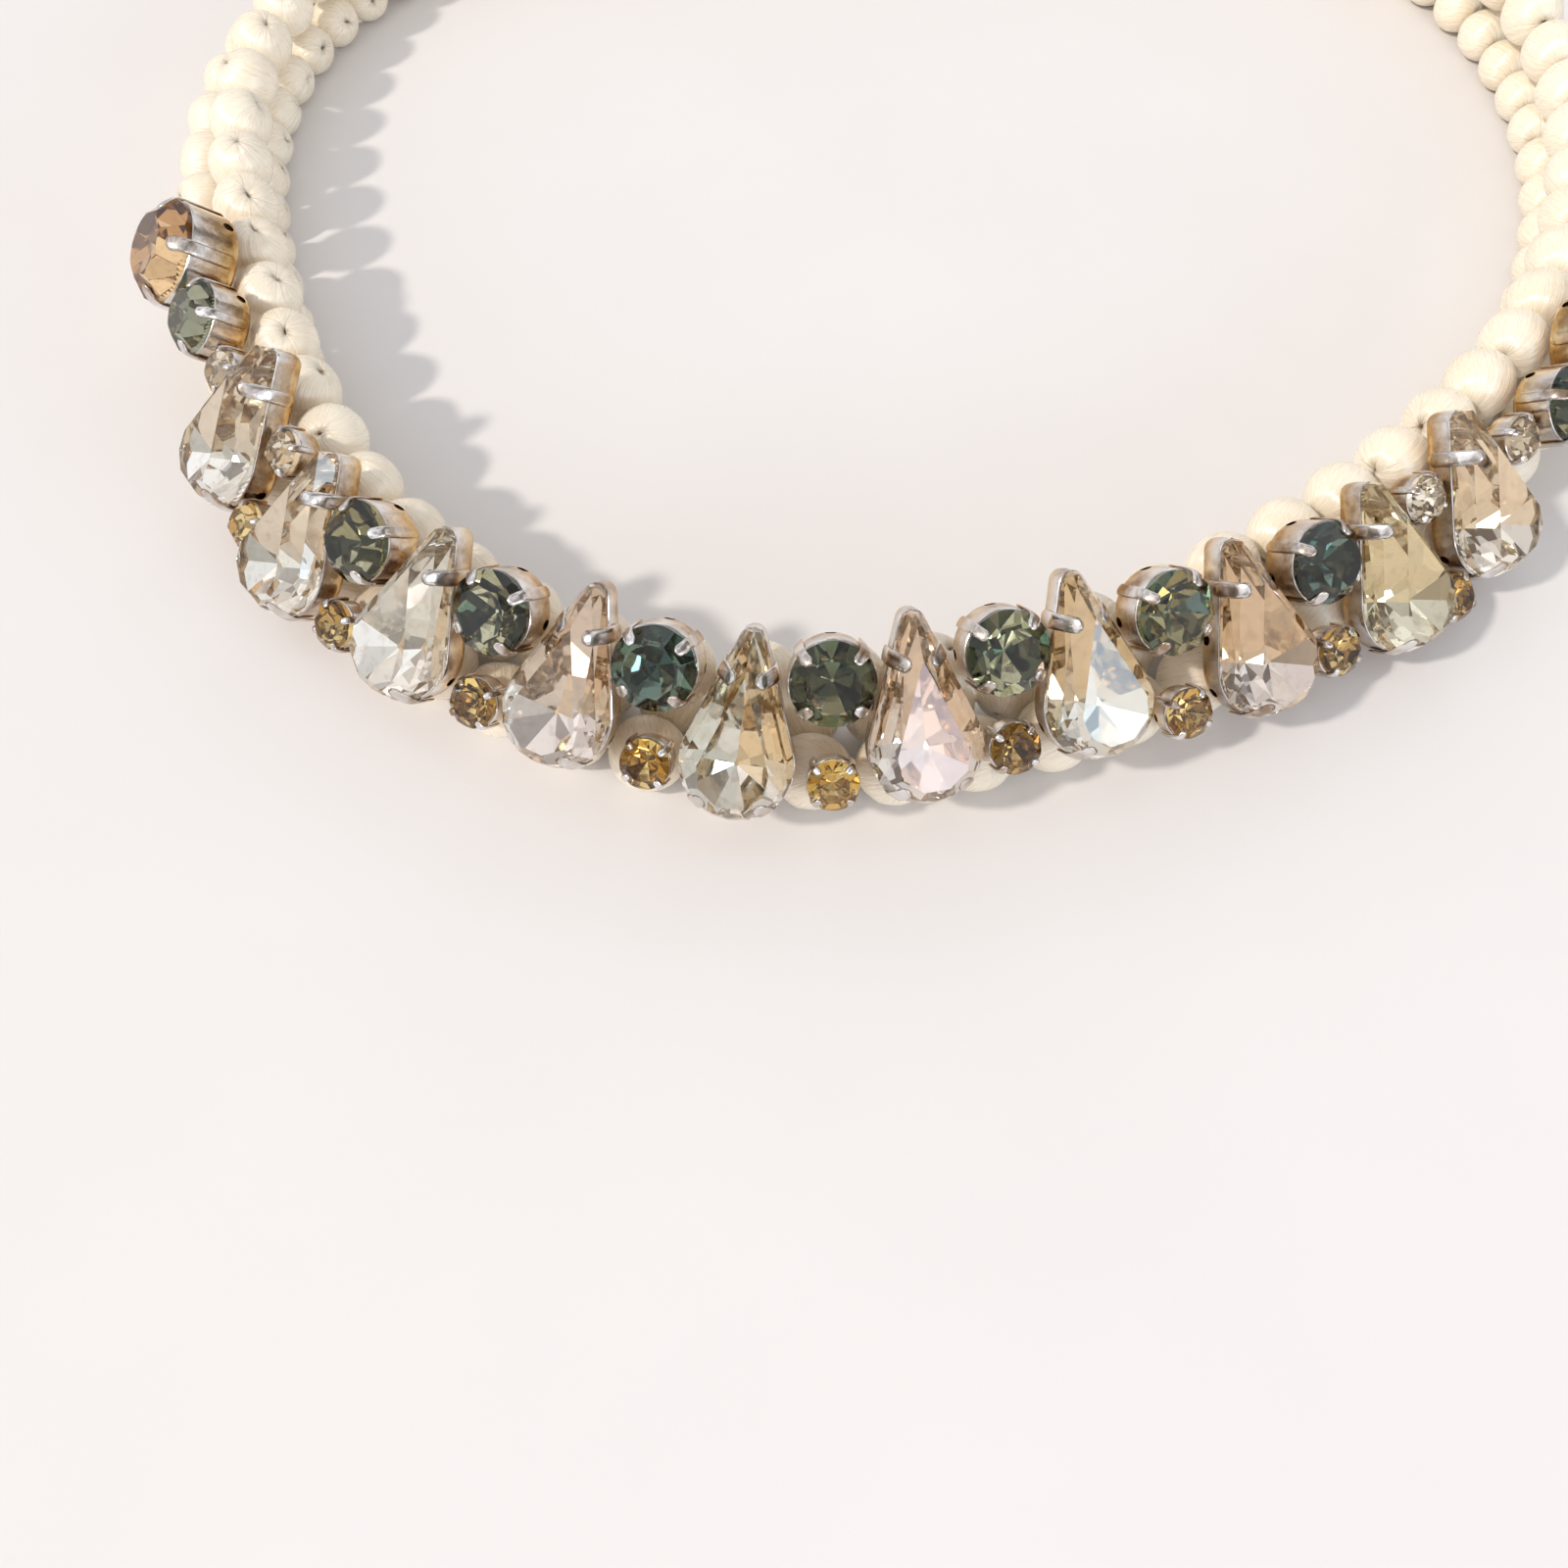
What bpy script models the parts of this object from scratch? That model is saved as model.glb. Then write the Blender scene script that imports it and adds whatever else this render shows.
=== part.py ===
"""A choker necklace: three strands of thread-wrapped beads with a front field of claw-set crystals.

Units are metres and +Z is up. The choker lies on the plane z = 0 with its front toward -Y and its clasp
toward +Y. The outer and inner strands lie on the surface and the top strand lies over them. The crystals
sit on the sloping face between the top and the outer strand.
"""
import math

import bmesh
import bpy
import numpy as np
from mathutils import Matrix, Vector

OBJECT_NAME = "choker_necklace"

# The way the top strand lies, seen from above: a mean radius, and slow waves in it.
# Columns: waves round the ring, height of a wave, angle of the first crest in degrees
RING_RADIUS = 0.0596
RING_WAVES = (
    (2, 0.00370, 37.0),
    (3, 0.00334, 36.0),
    (4, 0.00149, -21.0),
)

# Beads on their strands
BEAD_DIAMETER = 0.0057
BEAD_PITCH = 0.0060
BEAD_BODY_SHARE = 0.4
STRAND_THREAD_DIAMETER = 0.0018
INNER_TUBE_DIAMETER = 0.0041
INNER_TUBE_STEP = 0.0090

# How the three strands lie against each other
TOP_RISE = 0.0050
OUTER_SPREAD = 0.00445
INNER_SPREAD = 0.0006

# The clasp at the back
CLASP_LENGTH = 0.0100
CLASP_MARGIN = 0.0004
CLASP_BEVEL = 0.0015
FLOOR_CLEARANCE = 0.0004

# Gaps between pieces that touch
PIECE_GAP = 0.0003
STONE_GAP = 0.0002

# Cups, the same for every stone: an upright wall over a foot that is drawn in
CUP_WALL = 0.0003
CUP_FLOOR = 0.0006
FOOT_HEIGHT = 0.0006
FOOT_INSET = 0.0006

# Claws: the width that they keep, then rise and lean of stem and tip as shares of the crown's height
CLAW_WIDTH_SHARE = 0.72
CLAW_STEM = (0.45, 0.0)
CLAW_TIP = (0.30, 0.33)

# Cut of every stone. The crown has a steep lower half. Shares of the girdle's outline
SHOULDER_SHARE = 0.86
TABLE_SHARE = 0.58
CULET_SHARE = 0.34

# Pear crystals
PEAR_WIDTH = 0.0080
PEAR_LENGTH = 0.0136
PEAR_TIP_WIDTH = 0.0018
PEAR_CUP_HEIGHT = 0.0024
PEAR_CROWN = 0.0028
PEAR_PITCH = 0.01115

# Round crystals
GREY_DIAMETER = 0.0060
GREY_CUP_HEIGHT = 0.0033
GREY_CROWN = 0.0016
LARGE_DIAMETER = 0.0086
LARGE_CUP_HEIGHT = 0.0042
LARGE_CROWN = 0.0021
SMALL_DIAMETER = 0.0037
SMALL_CUP_HEIGHT = 0.0021
SMALL_CROWN = 0.0010

# Places of the ten pears, from the left end of the field to the right.
# Columns: shift along in pear pitches, height up the slope in bead diameters, lean to the right in degrees
PEARS = (
    (0.00, 0.16, -8.0),
    (-0.02, 0.02, -3.0),
    (0.00, 0.28, 2.0),
    (0.02, 0.42, 6.0),
    (0.00, 0.24, 4.0),
    (-0.02, 0.40, -2.0),
    (-0.02, 0.46, -2.0),
    (0.08, 0.10, -3.0),
    (0.19, -0.16, -2.0),
    (0.07, -0.06, 0.0),
)

# Places of the stones between two pears, measured up or down the slope from the mean height of the two
GREY_RISE = 0.0028
SMALL_HIGH_RISE = 0.0026
SMALL_DROPS = (0.0044, 0.0044, 0.0043, 0.0043, 0.0046, 0.0043, 0.0050, 0.0044, 0.0058)

# Places of the three stones past the last pear at each end.
# Columns: length along from that pear, height up the slope at the left end, height at the right end
END_SMALL = (0.0061, 0.0012, 0.0006)
END_GREY = (0.0111, 0.0019, 0.0003)
END_LARGE = (0.0186, 0.0019, 0.0006)

LOW_HEIGHT = BEAD_DIAMETER / 2
TOP_HEIGHT = LOW_HEIGHT + TOP_RISE
SLOPE_ANGLE = math.atan2(TOP_RISE, OUTER_SPREAD)

# Fineness of the meshes. A tube has four sides more than twice its bevel steps
STRAND_BEVEL_STEPS = 3
CLASP_BEVEL_STEPS = 3
ROUND_SIDES = 12
SMALL_SIDES = 8
RING_SAMPLES = 1440

# Bands of faces below a cup's rim, and the faces of the rim, counted round it, that carry a claw
BAND_COUNT_BELOW_RIM = 2
PEAR_CLAWS = (3, 7, 11, 15)
ROUND_CLAWS = (1, 4, 7, 10)
SMALL_CLAWS = (0, 2, 4, 6)

# Points of a pear's outline: on the tip's arc, on the wide end's arc, and between them as shares of a side
PEAR_TIP_POINTS = 3
PEAR_WIDE_POINTS = 10
PEAR_SIDE_SHARES = (0.22, 0.38)


def clear_scene():
    """Removes every object and collection that the file holds."""
    for item in list(bpy.data.objects):
        bpy.data.objects.remove(item, do_unlink=True)
    for group in list(bpy.data.collections):
        bpy.data.collections.remove(group)


def plain_material(name, colour, roughness, metallic=0.0, transmission=0.0):
    """Returns a material with one Principled shader."""
    material = bpy.data.materials.new(name)
    material.use_nodes = True
    shader = material.node_tree.nodes["Principled BSDF"]
    shader.inputs["Base Color"].default_value = (*colour, 1.0)
    shader.inputs["Roughness"].default_value = roughness
    shader.inputs["Metallic"].default_value = metallic
    shader.inputs["Transmission Weight"].default_value = transmission
    material.diffuse_color = (*colour, 1.0)
    return material


class Ring:
    """The closed path of the top strand, measured from the middle of the clasp round by the left."""

    def __init__(self):
        angle = np.linspace(0.5 * np.pi, 2.5 * np.pi, RING_SAMPLES + 1)
        radius = np.full_like(angle, RING_RADIUS)
        for count, height, crest in RING_WAVES:
            radius += height * np.cos(count * (angle - math.radians(crest)))
        self.points = np.stack([radius * np.cos(angle), radius * np.sin(angle)], axis=1)
        tangents = np.roll(self.points[:-1], -1, axis=0) - np.roll(self.points[:-1], 1, axis=0)
        tangents /= np.linalg.norm(tangents, axis=1)[:, None]
        self.tangents = np.vstack([tangents, tangents[:1]])
        self.normals = np.stack([self.tangents[:, 1], -self.tangents[:, 0]], axis=1)
        self.lengths = self.lengths_beside(0.0)
        self.front = float(np.interp(1.5 * np.pi, angle, self.lengths))

    def lengths_beside(self, across):
        """Returns the length so far along the path that runs beside the ring, outward by across."""
        beside = self.points + self.normals * across
        steps = np.linalg.norm(np.diff(beside, axis=0), axis=1)
        return np.concatenate([[0.0], np.cumsum(steps)])

    def pick(self, table, along):
        return np.array([np.interp(along % self.lengths[-1], self.lengths, column) for column in table.T])

    def place(self, along, across, height):
        """Returns the point at a length along the ring, outward by across and up by height."""
        flat = self.pick(self.points, along) + self.pick(self.normals, along) * across
        return Vector((flat[0], flat[1], height))

    def stations(self, across, count, margin):
        """Returns count + 1 lengths along the ring, evenly spaced on the path beside it."""
        beside = self.lengths_beside(across)
        even = np.linspace(margin, beside[-1] - margin, count + 1)
        return np.interp(even, beside, self.lengths)

    def slope_frame(self, along, up, lift):
        """Returns the matrix of a seat on the slope: X along the strand, Y up the slope, Z off it."""
        tangent = Vector((*self.pick(self.tangents, along), 0.0)).normalized()
        outward = Vector((*self.pick(self.normals, along), 0.0)).normalized()
        rise = Vector((0.0, 0.0, 1.0))
        up_slope = rise * math.sin(SLOPE_ANGLE) - outward * math.cos(SLOPE_ANGLE)
        off_slope = outward * math.sin(SLOPE_ANGLE) + rise * math.cos(SLOPE_ANGLE)
        middle = self.place(along, OUTER_SPREAD / 2, (TOP_HEIGHT + LOW_HEIGHT) / 2)
        frame = Matrix((tangent, up_slope, off_slope)).transposed().to_4x4()
        frame.translation = middle + up_slope * up + off_slope * lift
        return frame


def link(item, material, group, parent):
    """Puts an object in the necklace with its material."""
    item.data.materials.append(material)
    group.objects.link(item)
    item.parent = parent
    return item


def poly_tube(name, route):
    """Returns a closed tube on a polyline. Each row of the route is a point and the radius there."""
    curve = bpy.data.curves.new(name, "CURVE")
    curve.dimensions = "3D"
    curve.twist_mode = "Z_UP"
    curve.bevel_depth = BEAD_DIAMETER / 2
    curve.bevel_resolution = STRAND_BEVEL_STEPS
    curve.use_fill_caps = True
    spline = curve.splines.new("POLY")
    spline.points.add(len(route) - 1)
    for point, (position, radius) in zip(spline.points, route):
        point.co = (*position, 1.0)
        point.radius = radius / curve.bevel_depth
    spline.use_smooth = True
    return bpy.data.objects.new(name, curve)


def bead_route(ring, across, height, stations):
    """Returns the tube route of a string of beads, one bead between each two stations."""
    thread = STRAND_THREAD_DIAMETER / 2
    body = BEAD_DIAMETER / 2
    profile = ((0.0, thread), (0.5 - BEAD_BODY_SHARE / 2, body), (0.5 + BEAD_BODY_SHARE / 2, body))
    route = []
    for start, stop in zip(stations, stations[1:]):
        for share, radius in profile:
            route.append((ring.place(start + (stop - start) * share, across, height), radius))
    route.append((ring.place(stations[-1], across, height), thread))
    return route


def strand_margin():
    """Returns the length from the middle of the clasp to a strand's end."""
    return CLASP_LENGTH / 2 + PIECE_GAP


def bead_count(ring, across):
    return round((ring.lengths_beside(across)[-1] - 2 * strand_margin()) / BEAD_PITCH)


def make_bead_strand(name, ring, across, height):
    """Returns a strand of beads fused into one body along its thread."""
    stations = ring.stations(across, bead_count(ring, across), strand_margin())
    return poly_tube(name, bead_route(ring, across, height, stations))


def make_inner_strand(name, ring):
    """Returns the inner strand as a plain tube, slim enough to pass under the top strand's beads."""
    usable = ring.lengths_beside(-INNER_SPREAD)[-1] - 2 * strand_margin()
    stations = ring.stations(-INNER_SPREAD, round(usable / INNER_TUBE_STEP), strand_margin())
    route = [(ring.place(along, -INNER_SPREAD, LOW_HEIGHT), INNER_TUBE_DIAMETER / 2) for along in stations]
    return poly_tube(name, route)


def make_clasp(name, ring):
    """Returns the box clasp, a block with rounded edges as wide and high as the bundle."""
    width = OUTER_SPREAD + INNER_SPREAD + BEAD_DIAMETER + 2 * CLASP_MARGIN
    height = TOP_HEIGHT + BEAD_DIAMETER / 2 + CLASP_MARGIN - FLOOR_CLEARANCE
    bpy.ops.mesh.primitive_cube_add(size=1.0)
    clasp = bpy.context.active_object
    clasp.name = name
    clasp.data.name = name
    clasp.data.transform(Matrix.Diagonal((CLASP_LENGTH, width, height, 1.0)))
    for collection in list(clasp.users_collection):
        collection.objects.unlink(clasp)
    tangent = ring.pick(ring.tangents, 0.0)
    middle = ring.place(0.0, (OUTER_SPREAD - INNER_SPREAD) / 2, FLOOR_CLEARANCE + height / 2)
    turn = Matrix.Rotation(math.atan2(tangent[1], tangent[0]), 4, "Z")
    clasp.matrix_world = Matrix.Translation(middle) @ turn
    bevel = clasp.modifiers.new("Rounded edges", "BEVEL")
    bevel.width = CLASP_BEVEL
    bevel.segments = CLASP_BEVEL_STEPS
    return clasp


def round_outline(diameter, inset, sides):
    """Returns the points of a regular outline whose flats, not corners, face the strand's direction."""
    radius = diameter / 2 - inset
    turns = [2 * math.pi * (step + 0.5) / sides for step in range(sides)]
    return [Vector((radius * math.cos(turn), radius * math.sin(turn))) for turn in turns]


def pear_outline(inset):
    """Returns the points of a pear: a wide round end below, straight sides and a narrow round tip above."""
    wide = PEAR_WIDTH / 2
    tip = PEAR_TIP_WIDTH / 2
    wide_centre = Vector((0.0, wide - PEAR_LENGTH / 2))
    tip_centre = Vector((0.0, PEAR_LENGTH / 2 - tip))
    splay = math.asin((wide - tip) / (tip_centre - wide_centre).length)

    def arc(centre, radius, first, last, count):
        steps = [first + (last - first) * step / (count - 1) for step in range(count)]
        return [centre + Vector((math.cos(turn), math.sin(turn))) * (radius - inset) for turn in steps]

    tip_arc = arc(tip_centre, tip, splay, math.pi - splay, PEAR_TIP_POINTS)
    wide_arc = arc(wide_centre, wide, math.pi - splay, 2 * math.pi + splay, PEAR_WIDE_POINTS)
    left_side = [tip_arc[-1].lerp(wide_arc[0], share) for share in PEAR_SIDE_SHARES]
    right_side = [tip_arc[0].lerp(wide_arc[-1], share) for share in reversed(PEAR_SIDE_SHARES)]
    return tip_arc + left_side + wide_arc + right_side


def section(outline, share, height, middle=Vector((0.0, 0.0))):
    """Returns an outline shrunk to a share of its size about a middle, at a height."""
    return [Vector((*(middle + (point - middle) * share), height)) for point in outline]


def raise_claws(body, faces, crown):
    """Draws claws up from faces of a rim: a stem past the crown's steep part, then a tip that leans in."""
    for rise_share, lean_share in (CLAW_STEM, CLAW_TIP):
        faces = bmesh.ops.extrude_discrete_faces(body, faces=faces)["faces"]
        for face in faces:
            centre = face.calc_center_median()
            side = max(face.edges, key=lambda edge: edge.calc_length())
            along = (side.verts[1].co - side.verts[0].co).normalized()
            inward = Vector((-along.y, along.x, 0.0))
            if inward.dot(centre) > 0.0:
                inward.negate()
            shift = inward * (lean_share * crown) + Vector((0.0, 0.0, rise_share * crown))
            for vertex in face.verts:
                vertex.co -= along * ((vertex.co - centre).dot(along) * (1.0 - CLAW_WIDTH_SHARE))
                vertex.co += shift


def loft(name, sections, claw_faces=(), crown=0.0):
    """Returns a closed body through the sections, with claws raised on some faces of its rim."""
    body = bmesh.new()
    rings = [[body.verts.new(point) for point in row] for row in sections]
    count = len(sections[0])
    bands = []
    for low, high in zip(rings, rings[1:]):
        bands.append([])
        for step in range(count):
            after = (step + 1) % count
            bands[-1].append(body.faces.new((low[step], low[after], high[after], high[step])))
    body.faces.new(reversed(rings[0]))
    body.faces.new(rings[-1])
    if claw_faces:
        raise_claws(body, [bands[BAND_COUNT_BELOW_RIM][index] for index in claw_faces], crown)
    mesh = bpy.data.meshes.new(name)
    body.to_mesh(mesh)
    body.free()
    return bpy.data.objects.new(name, mesh)


def make_setting(name, outline_at, cup_height, crown, claw_faces):
    """Returns a hollow cup with claws on its rim. outline_at gives its outline at an inset."""
    outer = outline_at(0.0)
    inner = outline_at(CUP_WALL)
    sections = (
        section(outline_at(FOOT_INSET), 1.0, 0.0),
        section(outer, 1.0, FOOT_HEIGHT),
        section(outer, 1.0, cup_height),
        section(inner, 1.0, cup_height),
        section(inner, 1.0, CUP_FLOOR),
    )
    return loft(name, sections, claw_faces, crown)


def make_stone(name, outline_at, middle, cup_height, crown):
    """Returns a cut stone that sits in its cup with a gap all round: pavilion, shoulder and table."""
    girdle = outline_at(CUP_WALL + STONE_GAP)
    sections = (
        section(girdle, CULET_SHARE, CUP_FLOOR + 2 * STONE_GAP, middle),
        section(girdle, 1.0, cup_height),
        section(girdle, SHOULDER_SHARE, cup_height + crown / 2, middle),
        section(girdle, TABLE_SHARE, cup_height + crown, middle),
    )
    return loft(name, sections)


def make_small_stone(name):
    """Returns a small stone and its cup as one body: cup wall, rim, crown and table."""
    outer = round_outline(SMALL_DIAMETER, 0.0, SMALL_SIDES)
    girdle = round_outline(SMALL_DIAMETER, CUP_WALL, SMALL_SIDES)
    sections = (
        section(round_outline(SMALL_DIAMETER, FOOT_INSET, SMALL_SIDES), 1.0, 0.0),
        section(outer, 1.0, FOOT_HEIGHT),
        section(outer, 1.0, SMALL_CUP_HEIGHT),
        section(girdle, 1.0, SMALL_CUP_HEIGHT),
        section(girdle, TABLE_SHARE, SMALL_CUP_HEIGHT + SMALL_CROWN),
    )
    return loft(name, sections, SMALL_CLAWS, SMALL_CROWN)


def pear_seats(ring):
    """Returns each pear's place: length along the ring, height up the slope and lean in radians."""
    seats = []
    for index, (shift, up, lean) in enumerate(PEARS):
        along = ring.front + (index - (len(PEARS) - 1) / 2 + shift) * PEAR_PITCH
        seats.append((along, up * BEAD_DIAMETER, math.radians(lean)))
    return seats


def between_seats(pears):
    """Returns the middle place between each two pears."""
    return [((left[0] + right[0]) / 2, (left[1] + right[1]) / 2) for left, right in zip(pears, pears[1:])]


def field_seats(ring):
    """Returns the places of every stone by kind. Each place is length along, height up and lean."""
    pears = pear_seats(ring)
    gaps = between_seats(pears)
    greys = [(along, up + GREY_RISE, 0.0) for along, up in gaps[1:-1]]
    smalls = [(along, up - drop, 0.0) for (along, up), drop in zip(gaps, SMALL_DROPS)]
    smalls += [(along, up + SMALL_HIGH_RISE, 0.0) for along, up in (gaps[0], gaps[-1])]
    larges = []
    for kind, (distance, left_up, right_up) in ((smalls, END_SMALL), (greys, END_GREY), (larges, END_LARGE)):
        kind.append((pears[0][0] - distance, left_up, 0.0))
        kind.append((pears[-1][0] + distance, right_up, 0.0))
    return {"pear": pears, "grey": sorted(greys), "end": larges, "small": sorted(smalls)}


def seat_matrix(ring, seat):
    along, up, lean = seat
    lift = BEAD_DIAMETER / 2 + PIECE_GAP
    return ring.slope_frame(along, up, lift) @ Matrix.Rotation(-lean, 4, "Z")


def build_field(ring, group, parent, silver, crystals):
    """Makes every setting and stone of the front field."""
    seats = field_seats(ring)

    def grey_outline(inset):
        return round_outline(GREY_DIAMETER, inset, ROUND_SIDES)

    def end_outline(inset):
        return round_outline(LARGE_DIAMETER, inset, ROUND_SIDES)

    pear_middle = Vector((0.0, (PEAR_WIDTH - PEAR_LENGTH) / 2))
    round_middle = Vector((0.0, 0.0))
    mains = (
        ("pear", pear_outline, pear_middle, PEAR_CUP_HEIGHT, PEAR_CROWN, PEAR_CLAWS),
        ("grey", grey_outline, round_middle, GREY_CUP_HEIGHT, GREY_CROWN, ROUND_CLAWS),
        ("end", end_outline, round_middle, LARGE_CUP_HEIGHT, LARGE_CROWN, ROUND_CLAWS),
    )
    for kind, outline_at, middle, cup_height, crown, claw_faces in mains:
        for number, seat in enumerate(seats[kind], start=1):
            setting = make_setting(f"{kind}_setting_{number:02d}", outline_at, cup_height, crown, claw_faces)
            stone = make_stone(f"{kind}_stone_{number:02d}", outline_at, middle, cup_height, crown)
            for item, material in ((setting, silver), (stone, crystals[kind])):
                link(item, material, group, parent).matrix_world = seat_matrix(ring, seat)
    for number, seat in enumerate(seats["small"], start=1):
        item = make_small_stone(f"small_stone_{number:02d}")
        link(item, crystals["small"], group, parent).matrix_world = seat_matrix(ring, seat)


def centre_over_origin(root, group):
    """Moves the whole necklace so that the middle of its box, seen from above, is over the origin."""
    bpy.context.view_layer.update()
    depsgraph = bpy.context.evaluated_depsgraph_get()
    corners = []
    for item in group.objects:
        if item.type == "EMPTY":
            continue
        solid = item.evaluated_get(depsgraph)
        mesh = solid.to_mesh()
        corners += [solid.matrix_world @ vertex.co for vertex in mesh.vertices]
        solid.to_mesh_clear()
    for axis in (0, 1):
        values = [corner[axis] for corner in corners]
        root.location[axis] -= (min(values) + max(values)) / 2


def main():
    clear_scene()
    group = bpy.data.collections.new(OBJECT_NAME)
    bpy.context.scene.collection.children.link(group)
    root = bpy.data.objects.new("lying_choker", None)
    group.objects.link(root)

    thread = plain_material("cream silk thread", (0.86, 0.80, 0.70), 0.45)
    silver = plain_material("silver tone metal", (0.80, 0.76, 0.70), 0.20, metallic=1.0)
    crystals = {
        "pear": plain_material("champagne crystal", (0.78, 0.68, 0.56), 0.05, transmission=0.6),
        "grey": plain_material("smoke grey crystal", (0.20, 0.22, 0.19), 0.05, transmission=0.6),
        "end": plain_material("peach crystal", (0.80, 0.50, 0.32), 0.05, transmission=0.6),
        "small": plain_material("golden crystal", (0.72, 0.47, 0.18), 0.05, transmission=0.6),
    }

    ring = Ring()
    link(make_bead_strand("strand_top", ring, 0.0, TOP_HEIGHT), thread, group, root)
    link(make_bead_strand("strand_outer", ring, OUTER_SPREAD, LOW_HEIGHT), thread, group, root)
    link(make_inner_strand("strand_inner", ring), thread, group, root)
    link(make_clasp("clasp", ring), silver, group, root)
    build_field(ring, group, root, silver, crystals)
    centre_over_origin(root, group)


main()
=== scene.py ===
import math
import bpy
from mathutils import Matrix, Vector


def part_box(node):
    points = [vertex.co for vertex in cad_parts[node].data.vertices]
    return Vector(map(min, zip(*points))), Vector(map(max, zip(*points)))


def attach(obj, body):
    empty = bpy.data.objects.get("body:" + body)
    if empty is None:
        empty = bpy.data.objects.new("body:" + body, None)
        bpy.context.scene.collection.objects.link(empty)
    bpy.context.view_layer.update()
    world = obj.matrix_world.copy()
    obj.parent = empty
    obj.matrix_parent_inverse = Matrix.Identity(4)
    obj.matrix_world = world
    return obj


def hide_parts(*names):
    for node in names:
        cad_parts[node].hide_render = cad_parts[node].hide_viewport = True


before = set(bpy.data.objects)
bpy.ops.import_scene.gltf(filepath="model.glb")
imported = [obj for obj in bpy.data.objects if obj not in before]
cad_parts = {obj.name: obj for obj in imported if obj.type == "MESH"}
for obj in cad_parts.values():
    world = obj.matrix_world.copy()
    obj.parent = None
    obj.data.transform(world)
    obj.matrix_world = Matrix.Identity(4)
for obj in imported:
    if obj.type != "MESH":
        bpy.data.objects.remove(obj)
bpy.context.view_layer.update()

# The looks of a choker of thread-wrapped beads with a front field of foiled crystals in clawed cups.
# Metres, +Z up, front toward -Y, clasp toward +Y.
from types import SimpleNamespace

import bmesh
import bpy
import numpy as np
from mathutils import Matrix, Vector

SEED = 11

# The way the top strand lies, seen from above: waves round the ring, their height, first crest in degrees
RING_RADIUS = 0.0596
RING_WAVES = (
    (2, 0.00370, 37.0),
    (3, 0.00334, 36.0),
    (4, 0.00149, -21.0),
)
RING_SAMPLES = 1440

# The bundle of three strands
BEAD_DIAMETER = 0.0057
BEAD_PITCH = 0.0060
TOP_RISE = 0.0050
OUTER_SPREAD = 0.00445
INNER_SPREAD = 0.0006
INNER_BEAD_DIAMETER = 0.0048
CLASP_LENGTH = 0.0100
PIECE_GAP = 0.0003
LOW_HEIGHT = BEAD_DIAMETER / 2
TOP_HEIGHT = LOW_HEIGHT + TOP_RISE
SLOPE_ANGLE = math.atan2(TOP_RISE, OUTER_SPREAD)

# Crystals and their cups
PEAR_WIDTH = 0.0080
PEAR_LENGTH = 0.0136
PEAR_TIP_WIDTH = 0.0018
PEAR_CUP_HEIGHT = 0.0024
PEAR_CROWN = 0.0028
PEAR_PITCH = 0.01115
GREY_DIAMETER = 0.0060
GREY_CUP_HEIGHT = 0.0033
GREY_CROWN = 0.0016
LARGE_DIAMETER = 0.0086
LARGE_CUP_HEIGHT = 0.0042
LARGE_CROWN = 0.0021
SMALL_DIAMETER = 0.0037
SMALL_CUP_HEIGHT = 0.0021
SMALL_CROWN = 0.0010

# The ten pears, left to right: shift along in pear pitches, height up the slope in bead diameters, and
# lean in degrees
PEARS = (
    (0.00, 0.16, -8.0),
    (-0.02, 0.02, -3.0),
    (0.00, 0.28, 2.0),
    (0.02, 0.42, 6.0),
    (0.00, 0.24, 4.0),
    (-0.02, 0.40, -2.0),
    (-0.02, 0.46, -2.0),
    (0.08, 0.10, -3.0),
    (0.19, -0.16, -2.0),
    (0.07, -0.06, 0.0),
)

# The stones between two pears, measured up or down the slope from the mean height of the two
GREY_RISE = 0.0028
SMALL_HIGH_RISE = 0.0026
SMALL_DROPS = (0.0044, 0.0044, 0.0043, 0.0043, 0.0046, 0.0043, 0.0050, 0.0044, 0.0058)

# The stones past the last pears: length along, height up the slope at the left end, height at the right end
END_SMALL = (0.0061, 0.0012, 0.0006)
END_GREY = (0.0111, 0.0019, 0.0003)
END_LARGE = (0.0186, 0.0019, 0.0006)

# The casts of the glass, and which cast each pear has, left to right
CASTS = {
    "clear": (1.0, 1.0, 1.0),
    "champagne": (0.93, 0.95, 0.94),
    "rose": (0.92, 0.89, 0.92),
    "green": (0.93, 0.97, 0.86),
}
PEAR_CASTS = (
    "clear", "clear", "clear", "rose", "champagne", "rose", "champagne", "rose", "green", "clear",
)

# How far chance moves a pear's facet from the tint and painted reflection that it faces, as a share of the
# round
DIRECTION_BLUR = 0.12

# The small stones past the outermost pears, and the high ones beside those pears, are clear and the others
# golden. They are numbered from the left.
CLEAR_SMALLS = (1, 3, 12, 13)

# Cut of the stones: outline shares of the shoulder, the table and the back's point, and where the facets at
# the table's corners start and end
SHOULDER_SHARE = 0.87
TABLE_SHARE = 0.60
POINT_SHARE = 0.04
STAR_DROP = 0.35
STAR_SHARE = TABLE_SHARE * 0.98

# The girdle: its inset from the outline, its lift above the cup's rim and its height
GIRDLE_INSET = 0.00005
GIRDLE_LIFT = 0.00006
GIRDLE_HEIGHT = 0.00028

# The sides of the blank that a stone is cut from, and its scale while it is cut
BLANK_SIDES = 64
MILLIMETRES = 1000.0

# Points closer to a cutting plane than this, in millimetres, lie on it
CUT_TOLERANCE = 1e-4

# A facet whose normal is lower than this has the mirror coat
BACK_FACING = -0.1

# Mesh steps of the outlines
ROUND_STEPS = 96
TIP_STEPS = 8
PEAR_STEPS = 60

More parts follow.
